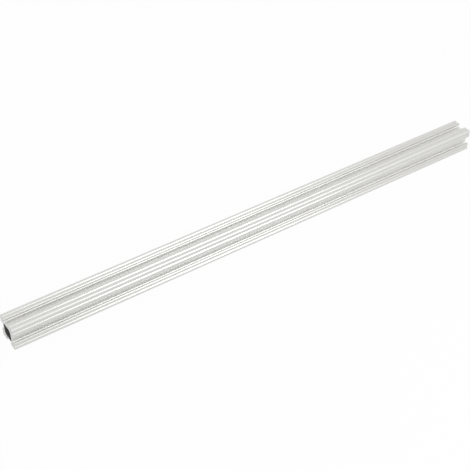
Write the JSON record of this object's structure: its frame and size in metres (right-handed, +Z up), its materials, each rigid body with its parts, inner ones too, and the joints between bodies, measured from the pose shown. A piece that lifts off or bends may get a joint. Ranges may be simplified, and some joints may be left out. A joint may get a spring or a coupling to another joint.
{
  "type": "aluminium t-slot extrusion",
  "caption": "Straight square aluminium framing bar with an undercut T slot down each face, grooved lips and a hollow square core, sawn square at both ends.",
  "frame": {"origin": "middle of the face that the bar lies on", "axes": "+X along the bar, +Z up, Y across it; the section has the same outline on all four faces"},
  "size_m": [0.435, 0.02, 0.02],
  "materials": {
    "anodised_aluminium": "clear anodised, satin, with fine lengthwise die lines"
  },
  "bodies": {
    "root": {"extrusion": "anodised_aluminium"}
  },
  "joints": []
}
